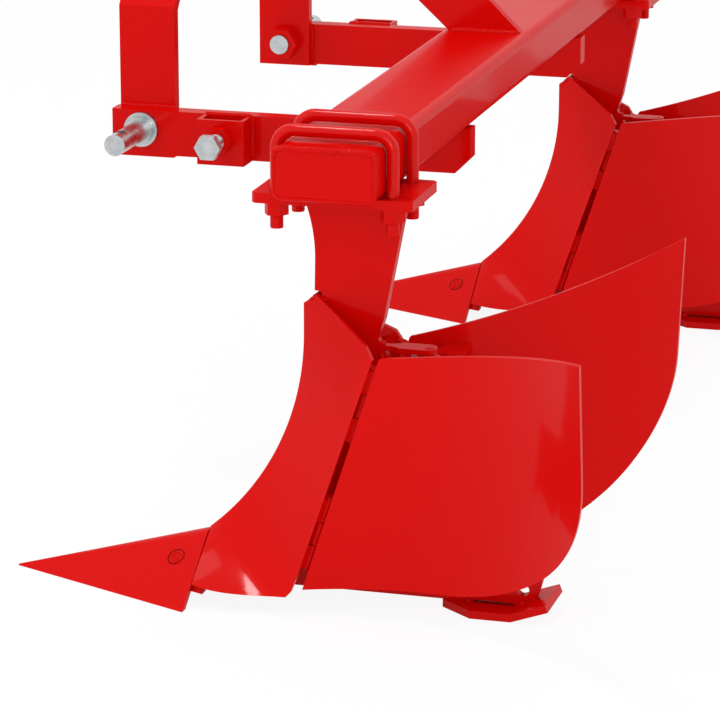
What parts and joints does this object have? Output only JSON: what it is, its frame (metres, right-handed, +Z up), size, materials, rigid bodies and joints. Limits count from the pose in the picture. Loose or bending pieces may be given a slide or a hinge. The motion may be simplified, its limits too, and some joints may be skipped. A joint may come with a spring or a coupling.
{
  "type": "ridging plough",
  "caption": "Ridging plough for a tractor's three-point linkage: hollow toolbar, hitch arms and mast, clamped legs with pointed shares, curved breasts and hinged, adjustable wings.",
  "frame": {"origin": "on the ground, under the middle of the machine's box", "axes": "+X the way it travels, +Y its left side, +Z up"},
  "size_m": [0.619, 1.5914, 0.8815],
  "materials": {
    "red_paint": "gloss red paint over steel",
    "zinc": "zinc-plated steel"
  },
  "bodies": {
    "frame": {"toolbar": "red_paint", "toolbar_cap_left": "red_paint", "toolbar_cap_right": "red_paint", "mast_spacer": "red_paint", "mast_brace": "red_paint", "hitch_arm_left": "red_paint", "mast_upright_left": "red_paint", "lower_link_pin_left": "zinc", "lower_link_nut_left": "zinc", "stand_socket_left": "red_paint", "socket_bolt_left": "zinc", "hitch_arm_right": "red_paint", "mast_upright_right": "red_paint", "lower_link_pin_right": "zinc", "lower_link_nut_right": "zinc", "stand_socket_right": "red_paint", "socket_bolt_right": "zinc"},
    "row_left": {"clamp_plate_left": "red_paint", "u_bolts_left": "zinc", "clamp_nuts_left": "zinc", "shank_left": "red_paint", "heel_plate_left": "red_paint", "sole_left": "red_paint", "breast_left": "red_paint", "share_left": "red_paint", "share_seat_left": "red_paint", "share_bolts_left": "zinc", "breast_knuckles_left": "red_paint", "hinge_pins_left": "zinc", "strap_bracket_left": "red_paint", "strap_bolt_left": "zinc"},
    "wing_outer_left": {"wing_outer_left": "red_paint", "wing_strap_outer_left": "red_paint"},
    "wing_inner_left": {"wing_inner_left": "red_paint", "wing_strap_inner_left": "red_paint"},
    "row_right": {"clamp_plate_right": "red_paint", "u_bolts_right": "zinc", "clamp_nuts_right": "zinc", "shank_right": "red_paint", "heel_plate_right": "red_paint", "sole_right": "red_paint", "breast_right": "red_paint", "share_right": "red_paint", "share_seat_right": "red_paint", "share_bolts_right": "zinc", "breast_knuckles_right": "red_paint", "hinge_pins_right": "zinc", "strap_bracket_right": "red_paint", "strap_bolt_right": "zinc"},
    "wing_outer_right": {"wing_outer_right": "red_paint", "wing_strap_outer_right": "red_paint"},
    "wing_inner_right": {"wing_inner_right": "red_paint", "wing_strap_inner_right": "red_paint"}
  },
  "joints": [
    {"name": "row_slide_left", "type": "slide", "parent": "frame", "child": "row_left", "axis": [0, 1, 0], "range_m": [-0.22, 0.02]},
    {"name": "wing_outer_left_hinge", "type": "hinge", "parent": "row_left", "child": "wing_outer_left", "pos_m": [-0.075, 0.6, 0.254], "axis": [0.3186, 0, -0.9479], "range_deg": [-12, 6]},
    {"name": "wing_inner_left_hinge", "type": "hinge", "parent": "row_left", "child": "wing_inner_left", "pos_m": [-0.075, 0.5, 0.254], "axis": [-0.3186, 0, 0.9479], "range_deg": [-12, 6]},
    {"name": "row_slide_right", "type": "slide", "parent": "frame", "child": "row_right", "axis": [0, -1, 0], "range_m": [-0.22, 0.02]},
    {"name": "wing_outer_right_hinge", "type": "hinge", "parent": "row_right", "child": "wing_outer_right", "pos_m": [-0.075, -0.6, 0.254], "axis": [-0.3186, 0, 0.9479], "range_deg": [-12, 6]},
    {"name": "wing_inner_right_hinge", "type": "hinge", "parent": "row_right", "child": "wing_inner_right", "pos_m": [-0.075, -0.5, 0.254], "axis": [0.3186, 0, -0.9479], "range_deg": [-12, 6]}
  ]
}
